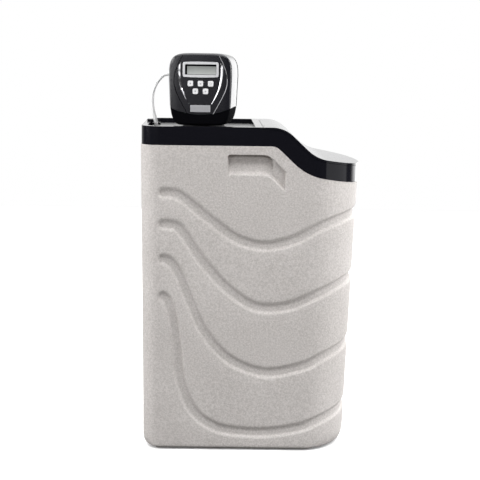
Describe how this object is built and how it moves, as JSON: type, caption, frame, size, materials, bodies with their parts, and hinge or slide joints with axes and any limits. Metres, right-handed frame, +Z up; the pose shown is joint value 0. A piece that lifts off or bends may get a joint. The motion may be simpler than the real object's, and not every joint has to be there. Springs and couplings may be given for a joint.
{
  "type": "water softener",
  "caption": "Cabinet water softener: moulded salt cabinet with wave grooves, hinged curved salt lid, resin tank and electronic control valve with push buttons.",
  "frame": {"origin": "on the floor below the middle of the cabinet rim", "axes": "+Z up, +X towards the salt lid end, -Y the wide side shown in the picture"},
  "size_m": [0.516, 0.3671, 0.9299],
  "materials": {
    "cabinet_grey": "sand textured warm light grey",
    "cover_black": "gloss black",
    "fascia_black": "satin black",
    "housing_black": "matt black",
    "silver_trim": "satin silver",
    "screen": "grey green display",
    "button_white": "white",
    "pin_steel": "plain steel",
    "tank_blue_grey": "wound glass fibre",
    "resin": "amber beads",
    "white_plastic": "white",
    "tube_white": "translucent white",
    "seal_black": "soft black",
    "board_green": "green laminate",
    "piston_grey": "grey",
    "injector_red": "red",
    "turbine_blue": "blue",
    "float_orange": "orange"
  },
  "bodies": {
    "cabinet": {"cabinet_shell": "cabinet_grey", "top_cover": "cover_black", "lid_pin_near": "pin_steel", "lid_pin_far": "pin_steel", "resin_tank": "tank_blue_grey", "tank_foot": "housing_black", "resin_bed": "resin", "riser_tube": "white_plastic", "lower_strainer": "white_plastic", "upper_strainer": "white_plastic", "valve_body": "housing_black", "neck_seal": "seal_black", "drive_bracket": "housing_black", "front_cover": "fascia_black", "lower_housing": "housing_black", "lcd_bezel": "silver_trim", "lcd_screen": "screen", "nameplate": "silver_trim", "circuit_board": "board_green", "board_screws": "pin_steel", "gearmotor": "pin_steel", "drive_cap": "housing_black", "spacer_stack": "white_plastic", "injector": "injector_red", "injector_cap": "housing_black", "refill_elbow": "housing_black", "refill_nut": "housing_black", "drain_elbow": "housing_black", "inlet_nut": "housing_black", "outlet_nut": "housing_black", "meter_cage": "white_plastic", "meter_axle": "pin_steel", "brine_tube": "tube_white", "brine_well": "white_plastic", "brine_well_cap": "housing_black", "air_check": "white_plastic", "pickup_tube": "white_plastic", "float_rod": "white_plastic", "overflow_gasket": "seal_black", "overflow_elbow": "housing_black", "overflow_nut": "housing_black"},
    "lid": {"salt_lid": "cover_black"},
    "button_1_body": {"button_1": "button_white"},
    "button_2_body": {"button_2": "button_white"},
    "button_3_body": {"button_3": "button_white"},
    "button_4_body": {"button_4": "button_white"},
    "button_5_body": {"button_5": "button_white"},
    "gear": {"main_gear": "white_plastic"},
    "pinion": {"drive_pinion": "white_plastic"},
    "piston_rod": {"piston": "piston_grey"},
    "turbine": {"meter_turbine": "turbine_blue"},
    "brine_float": {"float": "float_orange"},
    "ball": {"check_ball": "white_plastic"}
  },
  "joints": [
    {"name": "lid_hinge", "type": "hinge", "parent": "cabinet", "child": "lid", "pos_m": [0.0275, 0, 0.7635], "axis": [0, -1, 0], "range_deg": [0, 100]},
    {"name": "button_1_press", "type": "slide", "parent": "cabinet", "child": "button_1_body", "axis": [0.0785, 0.9969, 0], "range_m": [0, 0.0012], "stiffness_N_per_m": 800, "springref_m": -0.0006},
    {"name": "button_2_press", "type": "slide", "parent": "cabinet", "child": "button_2_body", "axis": [0.0785, 0.9969, 0], "range_m": [0, 0.0012], "stiffness_N_per_m": 800, "springref_m": -0.0006},
    {"name": "button_3_press", "type": "slide", "parent": "cabinet", "child": "button_3_body", "axis": [0.0785, 0.9969, 0], "range_m": [0, 0.0012], "stiffness_N_per_m": 800, "springref_m": -0.0006},
    {"name": "button_4_press", "type": "slide", "parent": "cabinet", "child": "button_4_body", "axis": [0.0785, 0.9969, 0], "range_m": [0, 0.0012], "stiffness_N_per_m": 800, "springref_m": -0.0006},
    {"name": "button_5_press", "type": "slide", "parent": "cabinet", "child": "button_5_body", "axis": [0.0785, 0.9969, 0], "range_m": [0, 0.0012], "stiffness_N_per_m": 800, "springref_m": -0.0006},
    {"name": "gear_turn", "type": "hinge", "parent": "cabinet", "child": "gear", "pos_m": [-0.11553, -0.04486, 0.835], "axis": [0.0785, 0.9969, 0], "range_deg": [0, 900]},
    {"name": "pinion_turn", "type": "hinge", "parent": "cabinet", "child": "pinion", "pos_m": [-0.11561, -0.04586, 0.88335], "axis": [0.0785, 0.9969, 0], "range_deg": [-2700, 0]},
    {"name": "piston_travel", "type": "slide", "parent": "cabinet", "child": "piston_rod", "axis": [0.0785, 0.9969, 0], "range_m": [0, 0.025]},
    {"name": "turbine_spin", "type": "hinge", "parent": "cabinet", "child": "turbine", "pos_m": [-0.13809, 0.07628, 0.803], "axis": [0.0785, 0.9969, 0], "continuous": true},
    {"name": "float_rise", "type": "slide", "parent": "cabinet", "child": "brine_float", "axis": [0, 0, 1], "range_m": [-0.02, 0.04]},
    {"name": "ball_rise", "type": "slide", "parent": "cabinet", "child": "ball", "axis": [0, 0, 1], "range_m": [0, 0.03]}
  ],
  "couplings": [
    {"joint": "pinion_turn", "follows": "gear_turn", "ratio": -3},
    {"joint": "piston_travel", "follows": "gear_turn", "m_per_rad": 0.0015915}
  ]
}
